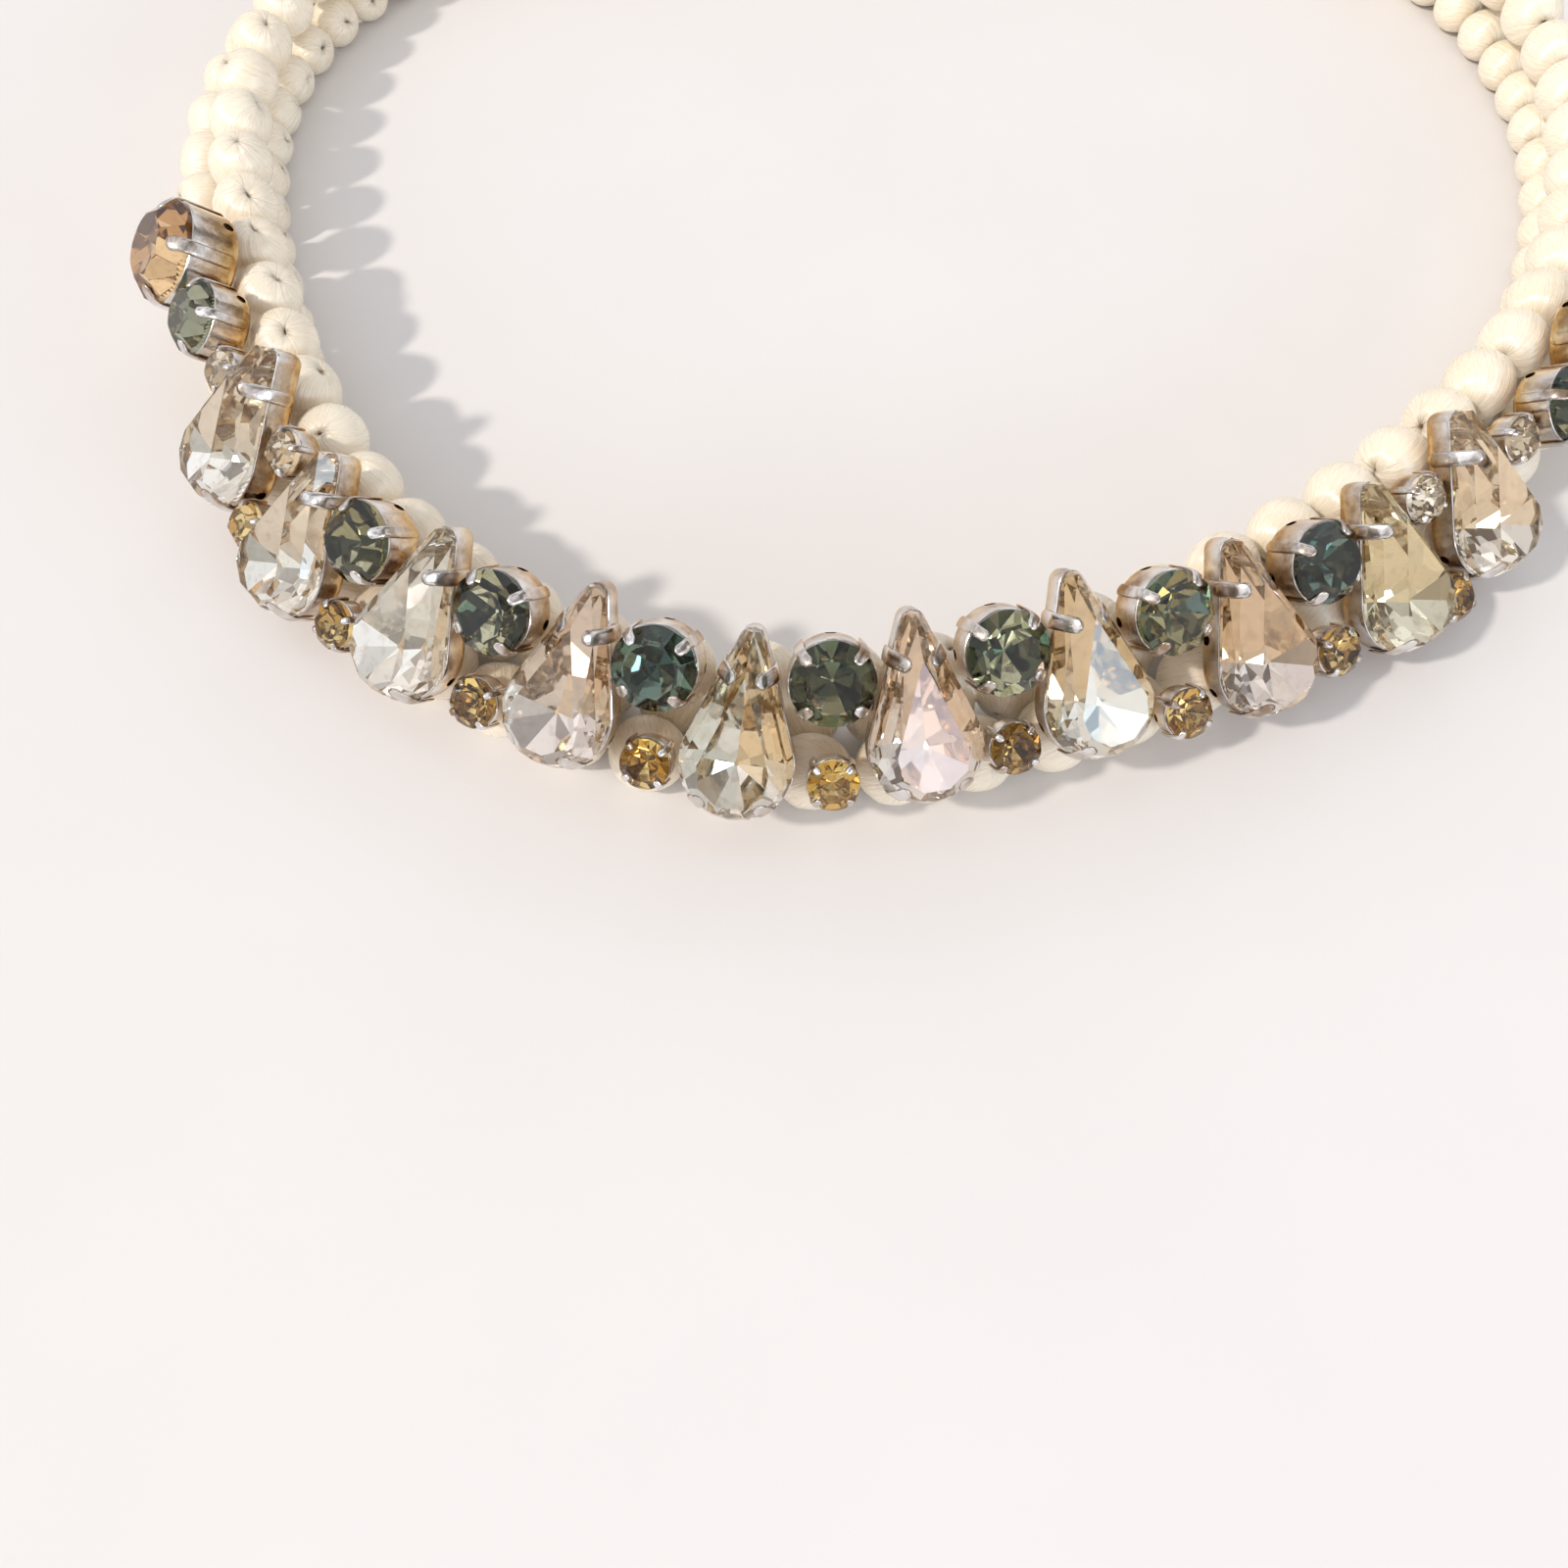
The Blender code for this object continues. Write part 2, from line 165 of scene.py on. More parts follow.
# Shares of the outline, from a round stone's top or a pear's tip, of main facets, claws and sewing holes
ROUND_MAINS = [step / 8 for step in range(8)]
ROUND_CLAWS = (0.125, 0.375, 0.625, 0.875)
ROUND_HOLES = (0.25, 0.5, 0.75, 0.0)
SMALL_HOLES = (0.25, 0.75)
PEAR_MAINS = [0.17, 0.335, 0.42, 0.5, 0.58, 0.665, 0.83]
PEAR_CLAWS = (0.109, 0.418, 0.582, 0.891)
PEAR_HOLES = (0.22, 0.34, 0.66, 0.78)

# Claws: half their thickness, the swell near the tip and its reach in widths, and the share of the
# thickness that is left at an end
CLAW_THICKNESS = 0.00011
CLAW_SWELL = 0.00009
CLAW_SWELL_REACH = 0.8
CLAW_END_THICKNESS = 0.45

# Mesh steps along a claw, round one end and round the claw, and where the steps round an end start
CLAW_STEPS = 12
CLAW_END_STEPS = 5
CLAW_SIDES = 14
CLAW_END_START = 0.12

# How square a claw's section is across and through, and the share of its length that smooths its direction
CLAW_SQUARENESS = (0.7, 0.8)
CLAW_SMOOTHING = 0.08

# Sewing holes: their height in their own diameters, and the drill's length and sides
HOLE_RISE = 1.15
DRILL_LENGTH = 0.0013
DRILL_SIDES = 20

# Cups: where the painted amber bounce light and shade low on the wall starts and how far down it deepens,
# both in shares of the height, and the angle of a sharp edge
PAINTED_GLOW_TOP = 0.78
PAINTED_GLOW_FADE = 0.50
CUP_SHARP_ANGLE = math.radians(42)

# Wrapped beads: mesh steps, how far they crowd to the poles, and how many shapes there are
BEAD_TURNS = 40
BEAD_RINGS = 20
RING_CROWDING = 1.5
BEAD_KINDS = 8

# The hole at each pole with the reach of its painted shade, and the funnel that the threads sink into with
# its slit and lobe, in bead radii
HOLE_SHARE = 0.06
HOLE_TAPER = 0.8
HOLE_SHADE_REACH = 1.6
FUNNEL_SHARE = 0.24
FUNNEL_DEPTH = 0.19
HOLE_DEPTH = 0.12
SLIT_SHARE = 0.38
LOBE_HEIGHT = 0.070

# The wrapping: low folds round the bead, creases near the hole by number and share, and the threads' swirl
FOLD_COUNTS = (3, 5, 8, 11)
FOLD_DEPTH = 0.008
CREASES = ((2.5, 1.0), (4.0, 0.6))
CREASE_LEVEL = 1.2
CREASE_DEPTH = 0.022
CREASE_REACH = 0.36
THREAD_SWIRL = 0.45
THREAD_DRIFT = 0.12
BEAD_STRETCH = 1.035
BEAD_SHARP_ANGLE = math.radians(70)

# Where the beads start and end turning, in shares of the ring, and how far their axes stray in degrees
TURNED_FROM_TO = (0.45, 0.62)
LEAN_SPREAD = 16
TURN_SPREAD = 14

# The thread that the beads are strung on
CORE_THREAD_DIAMETER = 0.0008
CORE_THREAD_STEPS = 150

# The key light's way, strength, width and colour
KEY_WAY = (0.80, 0.62, -1.0)
KEY_STRENGTH = 1.8
KEY_ANGLE = math.radians(4.0)
KEY_COLOUR = (1.0, 0.92, 0.83)

# A place on the front, and how far off the two windows stand that it faces
FRONT = (0.010, -0.062, 0.010)
WINDOW_DISTANCE = 0.6

# Each window's name, azimuth and elevation in degrees, diameter, power and colour
WINDOWS = (
    ("cool_window", 52.5, 20.0, 0.18, 0.60, (0.58, 0.81, 1.0)),
    ("pink_window", 28.0, 24.5, 0.13, 0.26, (0.96, 0.86, 1.0)),
)

# The surround is plain near the horizon, and has its soft patches above: heights of the unit direction
PLAIN_BELOW = 0.12
PATCHES_ABOVE = 0.26
PLAIN_SURROUND = (0.80, 0.785, 0.78)

# The patches of the surround: place in their noise, and colour, which goes brighter than white
SURROUND_PATCHES = ((0.36, (0.16, 0.13, 0.11)), (0.48, (0.69, 0.68, 0.68)), (0.64, (1.15, 1.16, 1.20)))

# Camera: where it stands, how far it looks down and round, and its lens and sensor in millimetres
CAMERA_PLACE = (0.0057, -0.12233, 0.09849)
CAMERA_PITCH = 1.02
CAMERA_TURN = math.radians(7.29)
LENS = 36.0
SENSOR_WIDTH = 36.0

# The side of the white floor
FLOOR_SIZE = 60.0

# Stains of the metals, and the painted amber bounce light and shade low on the cups: place in the noise of
# the patches, and colour
CUP_STAINS = ((0.34, (0.34, 0.24, 0.16)), (0.46, (0.62, 0.57, 0.53)), (0.60, (0.82, 0.80, 0.80)))
CLASP_STAINS = ((0.30, (0.66, 0.62, 0.57)), (0.50, (0.74, 0.72, 0.69)), (0.70, (0.83, 0.81, 0.79)))
# The amber stops paint warm bounce light and shade low on the cups' walls, patched like the stains.
AMBER_GLOW_AND_STAINS = ((0.36, (0.30, 0.16, 0.05)), (0.50, (0.56, 0.34, 0.13)), (0.64, (0.74, 0.55, 0.30)))

# Tints of the mirror coats, which are partly painted reflection. Those of the pears go round from the tip
# by the left.
# The pears' tints paint amber reflections on facets toward the tip and pale ones toward the round end.
CHAMPAGNE_TINTS_AND_REFLECTIONS = (
    (0.80, 0.59, 0.37), (0.76, 0.68, 0.56), (0.74, 0.74, 0.68), (0.88, 0.89, 0.88),
    (0.98, 0.94, 0.88), (0.92, 0.86, 0.80), (0.82, 0.66, 0.47), (0.78, 0.59, 0.36),
)
# Near-black and near-white smoke tints paint dark reflections and glints on single facets.
SMOKE_TINTS_AND_REFLECTIONS = (
    (1.0, 0.97, 0.82), (0.12, 0.14, 0.09), (0.05, 0.06, 0.04), (0.30, 0.46, 0.47),
    (0.66, 0.58, 0.36), (0.10, 0.13, 0.10), (0.80, 0.82, 0.70),
)
PEACH_TINTS_AND_REFLECTIONS = ((0.96, 0.88, 0.74), (0.66, 0.50, 0.32), (0.36, 0.26, 0.16), (0.84, 0.70, 0.50))
GOLDEN_TINTS_AND_REFLECTIONS = ((0.98, 0.92, 0.70), (0.70, 0.54, 0.26), (0.26, 0.17, 0.07))
CLEAR_TINTS_AND_REFLECTIONS = ((0.95, 0.92, 0.86), (0.80, 0.66, 0.48), (0.62, 0.55, 0.44))

# The factor and the two colours among a Mix node's inputs, and the colour among its outputs
MIX_INPUTS = (0, 6, 7)
MIX_RESULT = 2


class Ring:
    """The closed path of the top strand, measured from the middle of the clasp round by the left."""

    def __init__(self):
        angle = np.linspace(0.5 * np.pi, 2.5 * np.pi, RING_SAMPLES + 1)
        radius = np.full_like(angle, RING_RADIUS)
        for count, height, crest in RING_WAVES:
            radius += height * np.cos(count * (angle - math.radians(crest)))
        self.points = np.stack([radius * np.cos(angle), radius * np.sin(angle)], axis=1)
        tangents = np.roll(self.points[:-1], -1, axis=0) - np.roll(self.points[:-1], 1, axis=0)
        tangents /= np.linalg.norm(tangents, axis=1)[:, None]
        self.tangents = np.vstack([tangents, tangents[:1]])
        self.normals = np.stack([self.tangents[:, 1], -self.tangents[:, 0]], axis=1)
        self.lengths = self.lengths_beside(0.0)
        self.front = float(np.interp(1.5 * np.pi, angle, self.lengths))
        low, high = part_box("clasp")
        self.shift = (low + high) / 2 - self.raw_place(0.0, (OUTER_SPREAD - INNER_SPREAD) / 2, 0.0)

    def lengths_beside(self, across):
        beside = self.points + self.normals * across
        steps = np.linalg.norm(np.diff(beside, axis=0), axis=1)
        return np.concatenate([[0.0], np.cumsum(steps)])

    def pick(self, table, along):
        return np.array([np.interp(along % self.lengths[-1], self.lengths, column) for column in table.T])

    def raw_place(self, along, across, height):
        flat = self.pick(self.points, along) + self.pick(self.normals, along) * across
        return Vector((flat[0], flat[1], height))

    def place(self, along, across, height):
        """Returns the point at a length along the ring, outward by across and up by height."""
        point = self.raw_place(along, across, height)
        return Vector((point.x + self.shift.x, point.y + self.shift.y, height))

    def axes(self, along):
        """Returns the unit vectors along the strand, outward from it and up."""
        tangent = Vector((*self.pick(self.tangents, along), 0.0)).normalized()
        outward = Vector((*self.pick(self.normals, along), 0.0)).normalized()
        return tangent, outward, Vector((0.0, 0.0, 1.0))

    def stations(self, across, count, margin):
        beside = self.lengths_beside(across)
        even = np.linspace(margin, beside[-1] - margin, count + 1)
        return np.interp(even, beside, self.lengths)

    def slope_frame(self, along, up, lift):
        """Returns the matrix of a seat on the slope: X along the strand, Y up the slope, Z off it."""
        tangent, outward, rise = self.axes(along)
        up_slope = rise * math.sin(SLOPE_ANGLE) - outward * math.cos(SLOPE_ANGLE)
        off_slope = outward * math.sin(SLOPE_ANGLE) + rise * math.cos(SLOPE_ANGLE)
        middle = self.place(along, OUTER_SPREAD / 2, (TOP_HEIGHT + LOW_HEIGHT) / 2)
        matrix = Matrix((tangent, up_slope, off_slope)).transposed().to_4x4()
        matrix.translation = middle + up_slope * up + off_slope * lift
        return matrix


# Materials


def set_stops(ramp, stops):
    """Gives a colour ramp node its stops, each a position and a colour."""
    elements = ramp.color_ramp.elements
    while len(elements) < len(stops):
        elements.new(0.5)
    for element, (position, colour) in zip(elements, stops):
        element.position = position
        element.color = (*colour, 1.0)


class Paint:
    """A material's node tree, with short ways to add and join nodes."""

    def __init__(self, name):
        self.material = bpy.data.materials.new(name)
        self.material.use_nodes = True
        self.tree = self.material.node_tree
        self.shader = self.tree.nodes["Principled BSDF"]

    def node(self, kind, **values):
        item = self.tree.nodes.new(kind)
        for name, value in values.items():
            setattr(item, name, value)
        return item

    def join(self, source, target):
        self.tree.links.new(source, target)

    def set(self, **values):
        for name, value in values.items():
            self.shader.inputs[name.replace("_", " ")].default_value = value

    def coordinates(self):
        return self.node("ShaderNodeTexCoord").outputs["Object"]

    def attribute(self, name, output="Vector"):
        return self.node("ShaderNodeAttribute", attribute_name=name).outputs[output]

    def noise(self, vector, scale, detail=3.0, roughness=0.5):
        item = self.node("ShaderNodeTexNoise")
        item.inputs["Scale"].default_value = scale
        item.inputs["Detail"].default_value = detail
        item.inputs["Roughness"].default_value = roughness
        self.join(vector, item.inputs["Vector"])
        return item.outputs["Fac"]

    def ramp(self, factor, stops, kind="LINEAR"):
        """Joins a factor through colour stops, each a position and a colour."""
        item = self.node("ShaderNodeValToRGB")
        item.color_ramp.interpolation = kind
        set_stops(item, stops)
        self.join(factor, item.inputs["Fac"])
        return item.outputs["Color"]

    def range(self, value, low, high, start=0.0, stop=1.0):
        item = self.node("ShaderNodeMapRange")
        item.inputs["From Min"].default_value = start
        item.inputs["From Max"].default_value = stop
        item.inputs["To Min"].default_value = low
        item.inputs["To Max"].default_value = high
        self.join(value, item.inputs["Value"])
        return item.outputs["Result"]

    def mix(self, factor, first, second, blend="MIX"):
        """Mixes two colours. Each is an output or a plain colour."""
        item = self.node("ShaderNodeMix", data_type="RGBA", blend_type=blend)
        for value, index in zip((factor, first, second), MIX_INPUTS):
            target = item.inputs[index]
            if isinstance(value, bpy.types.NodeSocket):
                self.join(value, target)
            elif isinstance(value, tuple):
                target.default_value = (*value, 1.0)
            else:
                target.default_value = value
        return item.outputs[MIX_RESULT]

    def bump(self, height, distance, strength=1.0, below=None):
        item = self.node("ShaderNodeBump")
        item.inputs["Strength"].default_value = strength
        item.inputs["Distance"].default_value = distance
        self.join(height, item.inputs["Height"])
        if below is not None:
            self.join(below, item.inputs["Normal"])
        return item.outputs["Normal"]


def silk_material():
    """Cream floss wrapped from hole to hole: fine threads along each bead and a satin glow across them."""
    paint = Paint("cream silk thread")
    wrap = paint.attribute("wrap")
    tint = paint.attribute("bead_tint", "Fac")
    strands = paint.noise(wrap, 20.0, 3.0, 0.60)
    broad = paint.noise(wrap, 2.2, 2.0)
    body = paint.mix(paint.range(strands, 0.0, 1.0, 0.32, 0.66), (0.91, 0.77, 0.57), (0.985, 0.915, 0.77))
    warm = paint.mix(paint.range(broad, 0.0, 0.40, 0.40, 0.75), body, (0.94, 0.77, 0.55))
    toned = paint.mix(paint.range(tint, 0.0, 0.40), warm, (0.98, 0.91, 0.76))
    # Painted shade in the holes: dark brown where the threads sink in at the poles
    hole_shaded = paint.mix(paint.attribute("hole", "Fac"), toned, (0.50, 0.34, 0.19))
    paint.join(hole_shaded, paint.shader.inputs["Base Color"])
    paint.join(paint.range(strands, 0.20, 0.38), paint.shader.inputs["Roughness"])
    ridges = paint.bump(strands, 0.00008)
    folds = paint.bump(paint.noise(wrap, 4.2, 1.0), 0.00018, 0.7, ridges)
    paint.join(folds, paint.shader.inputs["Normal"])
    paint.join(paint.attribute("thread_across"), paint.shader.inputs["Tangent"])
    paint.set(Anisotropic=0.8, Sheen_Weight=0.2, Sheen_Roughness=0.35, Specular_IOR_Level=0.9, IOR=1.7)
    return paint.material


def core_thread_material():
    """The plain cream thread that runs through the beads, with the twist of its plies."""
    paint = Paint("cream core thread")
    twist = paint.noise(paint.coordinates(), 3000.0, 2.0)
    colour = paint.mix(twist, (0.80, 0.68, 0.50), (0.94, 0.86, 0.70))
    paint.join(colour, paint.shader.inputs["Base Color"])
    paint.join(paint.bump(twist, 0.00005), paint.shader.inputs["Normal"])
    paint.set(Roughness=0.6, Sheen_Weight=0.3)
    return paint.material


def metal_material(name, stains):
    """Silver-tone plating with stains in patches, painted amber bounce light and shade low on the cups, and
    fine scratches.
    """
    paint = Paint(name)
    place = paint.coordinates()
    patches = paint.noise(place, 420.0, 4.0, 0.6)
    scratches = paint.noise(place, 2600.0, 2.0, 0.7)
    silver = paint.ramp(patches, stains)
    # Painted amber bounce light and shade, mixed in low on the cups' walls
    painted_glow = paint.ramp(patches, AMBER_GLOW_AND_STAINS)
    colour = paint.mix(paint.attribute("painted_low_glow", "Fac"), silver, painted_glow)
    paint.join(colour, paint.shader.inputs["Base Color"])
    paint.join(paint.range(patches, 0.30, 0.12, 0.3, 0.7), paint.shader.inputs["Roughness"])
    dents = paint.bump(patches, 0.00012, 0.6)
    paint.join(paint.bump(scratches, 0.00001, 0.6, dents), paint.shader.inputs["Normal"])
    paint.set(Metallic=1.0)
    return paint.material


def crystal_material(name, light, deep, haze=0.0):
    """Tinted glass whose facets vary between two tints, partly painted reflection, with each stone's cast
    and faint marks of wear.
    """
    paint = Paint(name)
    wear = paint.noise(paint.coordinates(), 900.0, 4.0, 0.65)
    # The facet-to-facet change of tint is partly painted reflection
    colour = paint.mix(paint.attribute("facet", "Fac"), light, deep)
    cast = paint.mix(1.0, colour, paint.attribute("stone_cast"), "MULTIPLY")
    paint.join(cast, paint.shader.inputs["Base Color"])
    paint.join(paint.bump(wear, 0.000002, 0.5), paint.shader.inputs["Normal"])
    paint.set(Transmission_Weight=1.0, IOR=1.58, Roughness=0.0)
    if haze:
        paint.join(paint.range(wear, 0.0, haze, 0.5, 0.8), paint.shader.inputs["Roughness"])
    return paint.material


def foil_material(name, tints):
    """The mirror coat on the back facets of a crystal. Each facet takes one of the tints, which are partly
    painted reflection.
    """
    paint = Paint(name)
    wear = paint.noise(paint.coordinates(), 1300.0, 3.0)
    stops = [(number / len(tints), tint) for number, tint in enumerate(tints)]
    # Each facet's lighter or darker tint is painted reflection on top of the coat's own colour
    colour = paint.ramp(paint.attribute("facet", "Fac"), stops, "CONSTANT")
    aged = paint.mix(paint.range(wear, 0.0, 0.35, 0.5, 0.8), colour, (0.45, 0.30, 0.16))
    paint.join(aged, paint.shader.inputs["Base Color"])
    paint.join(paint.range(wear, 0.02, 0.10, 0.4, 0.8), paint.shader.inputs["Roughness"])
    paint.set(Metallic=1.0)
    return paint.material


def floor_material():
    """A plain pale surface with the faintest mottling."""
    paint = Paint("pale surface")
    mottle = paint.noise(paint.coordinates(), 35.0, 3.0)
    colour = paint.mix(mottle, (0.75, 0.73, 0.725), (0.79, 0.77, 0.765))
    paint.join(colour, paint.shader.inputs["Base Color"])
    paint.set(Roughness=0.6, Specular_IOR_Level=0.3)
    return paint.material


def dress(item, replaced=None):
    """Puts a finished piece on the choker's body, and hides the solid it stands for."""
    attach(item, "root")
    if replaced:
        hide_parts(replaced)


def add_object(name, mesh, *materials):
    item = bpy.data.objects.new(name, mesh)
    for material in materials:
        item.data.materials.append(material)
    bpy.context.scene.collection.objects.link(item)
    return item


# Beads


def bead_profile():
    """Returns the outline of a bead of radius 1, from hole to hole.

    It is three arrays: distances from the axis, heights and polar angles.
    """
    start = math.asin(HOLE_SHARE)
    share = np.linspace(0.0, 1.0, BEAD_RINGS // 2 + 1)
    upper = start + (math.pi / 2 - start) * share ** RING_CROWDING
    across = np.sin(upper)
    height = np.cos(upper) - FUNNEL_DEPTH * np.exp(-(across / FUNNEL_SHARE) ** 2)
    across = np.concatenate([[HOLE_SHARE * HOLE_TAPER], across])
    height = np.concatenate([[height[0] - HOLE_DEPTH], height])
    polar = np.concatenate([[0.0], upper])
    return (
        np.concatenate([across, across[-2::-1]]),
        np.concatenate([height, -height[-2::-1]]),
        np.concatenate([polar, math.pi - polar[-2::-1]]),
    )


def bead_shape(random):
    """Returns one wrapped bead of radius 1 with its axis on Z.

    With its points go their places on the threads, the ways across the threads and the share of painted
    shade at the hole.
    """
    across, height, polar = bead_profile()
    turn = np.linspace(0.0, 2 * math.pi, BEAD_TURNS, endpoint=False)
    spin = turn[None, :] + THREAD_SWIRL * np.cos(polar)[:, None] * random.uniform(0.5, 1.3)
    fold = np.zeros_like(spin)
    for count in FOLD_COUNTS:
        fold += random.uniform(0.3, 1.0) * np.cos(count * spin + random.uniform(0, 2 * math.pi))
    near_hole = np.exp(-(across / CREASE_REACH) ** 2)[:, None]
    crease = np.zeros_like(spin)
    for count, share in CREASES:
        crease += share * np.abs(np.sin(count * spin + random.uniform(0, 6)))
    lobe = LOBE_HEIGHT * np.cos(turn - random.uniform(0, 2 * math.pi))
    swell = 1.0 + FOLD_DEPTH * fold * np.sin(polar)[:, None]
    raised = lobe + CREASE_DEPTH * (crease - CREASE_LEVEL)
    height = height[:, None] + np.sign(height)[:, None] * near_hole * raised
    slit = 1.0 - (1.0 - SLIT_SHARE) * near_hole
    points = np.stack([
        across[:, None] * swell * np.cos(turn),
        across[:, None] * swell * slit * np.sin(turn),
        height,
    ], axis=2)
    points /= np.linalg.norm(points, axis=2).max()
    drift = THREAD_DRIFT * np.repeat(np.cos(polar)[:, None], BEAD_TURNS, axis=1) + random.uniform(0, 50)
    wrap = np.stack([np.cos(spin), np.sin(spin), drift], axis=2)
    side = np.stack([-np.sin(turn), np.cos(turn), np.zeros(BEAD_TURNS)], axis=1)
    sides = np.repeat(side[None, :, :], len(polar), axis=0)
    # The share of painted shade, fading out from the hole
    hole = np.repeat(np.exp(-(across / (HOLE_SHADE_REACH * HOLE_SHARE)) ** 2), BEAD_TURNS)
    return points.reshape(-1, 3), wrap.reshape(-1, 3), sides.reshape(-1, 3), hole


def bead_faces():
    rings = len(bead_profile()[0])
    faces = []
    for ring in range(rings - 1):
        for step in range(BEAD_TURNS):
            after = (step + 1) % BEAD_TURNS
            low = ring * BEAD_TURNS
            high = low + BEAD_TURNS
            faces.append((low + step, high + step, high + after, low + after))
    faces.append(tuple(range(BEAD_TURNS)))
    last = (rings - 1) * BEAD_TURNS
    faces.append(tuple(last + step for step in reversed(range(BEAD_TURNS))))
    return faces


def make_strand(name, places, diameter, silk):
    """Returns one strand as a mesh.

    Each place holds a bead's centre, the strand's direction there and the bead's axis.
    """
    random = np.random.default_rng(SEED + len(name))
    shapes = [bead_shape(random) for _ in range(BEAD_KINDS)]
    faces = bead_faces()
    verts, wraps, sides, tints, holes, all_faces = [], [], [], [], [], []
    for centre, along, axis in places:
        points, wrap, side, hole = shapes[random.integers(BEAD_KINDS)]
        third = Vector(axis).normalized()
        first = third.orthogonal().normalized()
        turn = Matrix.Rotation(random.uniform(0, 2 * math.pi), 3, third)
        first = turn @ first
        basis = np.array([first, third.cross(first), third])
        placed = points @ basis * (diameter / 2)
        direction = np.array(along)
        placed += np.outer(placed @ direction, direction) * (BEAD_STRETCH - 1.0)
        start = len(verts) * len(points)
        all_faces += [tuple(start + index for index in face) for face in faces]
        verts.append(placed + np.array(centre))
        wraps.append(wrap + np.array((0.0, 0.0, random.uniform(0, 30))))
        sides.append(side @ basis)
        tints.append(np.full(len(points), random.uniform(0, 1)))
        holes.append(hole)
    mesh = bpy.data.meshes.new(name)
    mesh.from_pydata(np.concatenate(verts).tolist(), [], all_faces)
    for label, kind, values in (
        ("wrap", "FLOAT_VECTOR", wraps),
        ("thread_across", "FLOAT_VECTOR", sides),
        ("bead_tint", "FLOAT", tints),
        ("hole", "FLOAT", holes),
    ):
        layer = mesh.attributes.new(label, kind, "POINT")
        field = "vector" if kind == "FLOAT_VECTOR" else "value"
        layer.data.foreach_set(field, np.concatenate(values).ravel().astype(np.float32))
    mesh.shade_smooth()
    mesh.set_sharp_from_angle(angle=BEAD_SHARP_ANGLE)
    return add_object(name, mesh, silk)


def strand_places(ring, across, height, count, roll):
    """Returns a strand's beads, with axes that roll round it from facing up by roll degrees on average.

    Past the front of the ring the beads turn until their holes lie along the strand.
    """
    random = np.random.default_rng(SEED + int(across * 1e5) + 500)
    stations = ring.stations(across, count, CLASP_LENGTH / 2 + PIECE_GAP)
    places = []
    for start, stop in zip(stations, stations[1:]):
        along = (start + stop) / 2
        tangent, outward, rise = ring.axes(along)
        lean = math.radians(roll + random.normal(0, LEAN_SPREAD))
        turned = float(np.interp(along / ring.lengths[-1], TURNED_FROM_TO, (0.0, 90.0)))
        tip = math.radians(turned + random.normal(0, TURN_SPREAD))
        axis = rise * math.cos(lean) + outward * math.sin(lean)
        axis = axis * math.cos(tip) + tangent * math.sin(tip)
        places.append((ring.place(along, across, height), tangent, axis))
    return places


def bead_count(ring, across, diameter):
    margin = CLASP_LENGTH / 2 + PIECE_GAP
    pitch = diameter + BEAD_PITCH - BEAD_DIAMETER
    return round((ring.lengths_beside(across)[-1] - 2 * margin) / pitch)


def make_core_thread(name, ring, across, height, core):
    """Returns the thread that a strand's beads are strung on."""
    margin = CLASP_LENGTH / 2 - PIECE_GAP
    curve = bpy.data.curves.new(name, "CURVE")
    curve.dimensions = "3D"
    curve.bevel_depth = CORE_THREAD_DIAMETER / 2
    curve.bevel_resolution = 2
    curve.use_fill_caps = True
    spline = curve.splines.new("POLY")
    stations = ring.stations(across, CORE_THREAD_STEPS, margin)
    spline.points.add(len(stations) - 1)
    for point, along in zip(spline.points, stations):
        point.co = (*ring.place(along, across, height), 1.0)
    return add_object(name, curve, core)


def build_strands(ring, silk, core):
    strands = (
        ("top", 0.0, TOP_HEIGHT, BEAD_DIAMETER, -14.0),
        ("outer", OUTER_SPREAD, LOW_HEIGHT, BEAD_DIAMETER, 52.0),
        ("inner", -INNER_SPREAD, INNER_BEAD_DIAMETER / 2, INNER_BEAD_DIAMETER, -70.0),
    )
    for name, across, height, diameter, roll in strands:
        places = strand_places(ring, across, height, bead_count(ring, across, diameter), roll)
        dress(make_strand(f"beads_{name}", places, diameter, silk), f"strand_{name}")
        dress(make_core_thread(f"thread_{name}", ring, across, height, core))


# Outlines of stones and cups


class Outline:
    """A closed outline with its outward normals, measured in shares of its length from its tip or top."""

    def __init__(self, stops):
        self.normals = np.array([(math.cos(turn), math.sin(turn)) for _, _, turn in stops])
        centres = np.array([(0.0, height) for height, _, _ in stops])
        radii = np.array([radius for _, radius, _ in stops])
        self.points = centres + self.normals * radii[:, None]
        steps = np.linalg.norm(np.diff(self.points, axis=0), axis=1)
        lengths = np.concatenate([[0.0], np.cumsum(steps)])
        self.shares = lengths / lengths[-1]

    def pick(self, table, share):
        return np.array([np.interp(share % 1.0, self.shares, column) for column in table.T])

    def at(self, share, inset=0.0):
        return self.pick(self.points, share) - self.normal(share) * inset

    def normal(self, share):
        value = self.pick(self.normals, share)
        return value / np.linalg.norm(value)


def round_outline(diameter):
    turns = np.linspace(0.5 * math.pi, 2.5 * math.pi, ROUND_STEPS + 1)
    return Outline([(0.0, diameter / 2, turn) for turn in turns])


